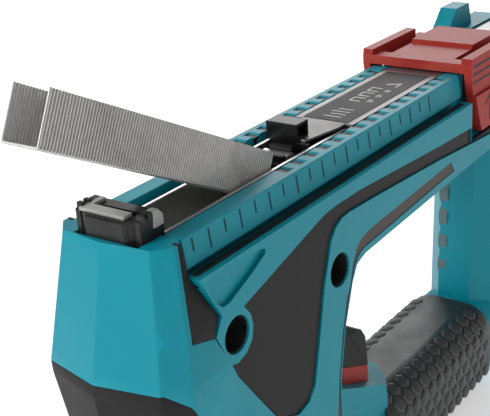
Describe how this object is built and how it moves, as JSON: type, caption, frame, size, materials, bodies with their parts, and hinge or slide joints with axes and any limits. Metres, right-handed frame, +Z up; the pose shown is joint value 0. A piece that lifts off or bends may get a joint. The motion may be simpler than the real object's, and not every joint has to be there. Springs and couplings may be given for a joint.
{
  "type": "electric stapler",
  "caption": "Cordless electric stapler upside down on its handle, sliding magazine cover open and a staple strip half inserted",
  "frame": {"origin": "centre of the resting flat on the spine of the handle", "axes": "+X to the rear of the tool (battery end), +Y to the tool's left-hand side, +Z up, out of the open side of the magazine"},
  "size_m": [0.2674, 0.06, 0.1628],
  "materials": {
    "teal_plastic": "fine-textured teal moulding",
    "red_plastic": "fine-textured red moulding",
    "black_plastic": "fine-textured black moulding",
    "grip_rubber": "soft overmould with raised hexagons",
    "bright_steel": "bright sheet steel",
    "dark_steel": "blackened steel",
    "staple_wire": "galvanised wire, glued",
    "label_film": "printed film",
    "spring_steel": "spring wire",
    "bumper_rubber": "solid rubber",
    "board": "glass-fibre circuit board",
    "brass_contact": "plated contacts"
  },
  "bodies": {
    "housing": {"bumper": "bumper_rubber", "cheek_left": "black_plastic", "cheek_right": "black_plastic", "circuit_board": "board", "front_cover": "teal_plastic", "gear_axle": "bright_steel", "gearbox_plate": "dark_steel", "grip_sleeve": "grip_rubber", "housing_left": "teal_plastic", "housing_right": "teal_plastic", "housing_screws": "dark_steel", "infill_panel_left": "black_plastic", "infill_panel_right": "black_plastic", "magazine_housing": "teal_plastic", "magazine_rails": "bright_steel", "magazine_screws": "dark_steel", "main_spring": "spring_steel", "motor_can": "dark_steel", "nose_guide": "dark_steel", "nose_springs": "spring_steel", "opening_trim_left": "black_plastic", "opening_trim_right": "black_plastic", "pack_contacts": "brass_contact", "pack_rails": "black_plastic", "rating_plate": "label_film", "side_seal_left": "black_plastic", "side_seal_right": "black_plastic", "top_cap": "black_plastic", "trigger_spring": "spring_steel", "trigger_switch": "black_plastic"},
    "cover": {"cover_plate": "bright_steel", "cover_label": "label_film", "cover_bracket": "bright_steel"},
    "pusher": {"pusher": "black_plastic", "pusher_clip": "bright_steel", "pusher_spring": "spring_steel"},
    "staples": {"staple_strip": "staple_wire"},
    "latch": {"latch": "red_plastic", "latch_hooks": "bright_steel"},
    "trigger": {"trigger": "black_plastic", "trigger_base": "red_plastic"},
    "nose": {"contact_nose": "black_plastic", "nose_pad": "dark_steel"},
    "driver": {"driver_blade": "bright_steel", "driver_carriage": "dark_steel"},
    "drive_gear": {"drive_gear": "dark_steel"},
    "rotor": {"motor_pinion": "dark_steel"},
    "battery": {"battery_pack": "black_plastic"},
    "pack_button": {"pack_button": "red_plastic"}
  },
  "joints": [
    {"name": "cover_slide", "type": "slide", "parent": "housing", "child": "cover", "axis": [-1, 0, 0], "range_m": [0, 0.052]},
    {"name": "pusher_slide", "type": "slide", "parent": "housing", "child": "pusher", "axis": [-1, 0, 0], "range_m": [0, 0.052]},
    {"name": "strip_slide", "type": "slide", "parent": "housing", "child": "staples", "axis": [-0.8897, 0, 0.4565], "range_m": [0, 0.059]},
    {"name": "latch_slide", "type": "slide", "parent": "housing", "child": "latch", "axis": [1, 0, 0], "range_m": [0, 0.004], "stiffness_N_per_m": 300, "springref_m": -0.003},
    {"name": "trigger_press", "type": "slide", "parent": "housing", "child": "trigger", "axis": [0, 0, -1], "range_m": [0, 0.006], "stiffness_N_per_m": 500, "springref_m": -0.004, "deforming": ["trigger_spring"]},
    {"name": "nose_press", "type": "slide", "parent": "housing", "child": "nose", "axis": [0, 0, -1], "range_m": [0, 0.003], "stiffness_N_per_m": 600, "springref_m": -0.004, "deforming": ["nose_springs"]},
    {"name": "driver_stroke", "type": "slide", "parent": "housing", "child": "driver", "axis": [0, 0, 1], "range_m": [0, 0.0205], "stiffness_N_per_m": 150, "springref_m": -0.006, "deforming": ["main_spring"]},
    {"name": "gear_turn", "type": "hinge", "parent": "housing", "child": "drive_gear", "pos_m": [-0.091, 0.01, 0.074], "axis": [0, 1, 0], "continuous": true},
    {"name": "rotor_turn", "type": "hinge", "parent": "housing", "child": "rotor", "pos_m": [-0.086, 0.004, 0.05], "axis": [0, 1, 0], "continuous": true},
    {"name": "pack_slide", "type": "slide", "parent": "housing", "child": "battery", "axis": [0, 0, 1], "range_m": [0, 0.065]},
    {"name": "button_press", "type": "slide", "parent": "battery", "child": "pack_button", "axis": [-1, 0, 0], "range_m": [0, 0.0015], "stiffness_N_per_m": 500, "springref_m": -0.002}
  ],
  "couplings": [
    {"joint": "pusher_slide", "follows": "cover_slide", "ratio": 1},
    {"joint": "strip_slide", "follows": "cover_slide", "ratio": 1.1239},
    {"joint": "rotor_turn", "follows": "gear_turn", "ratio": -2.4286}
  ]
}
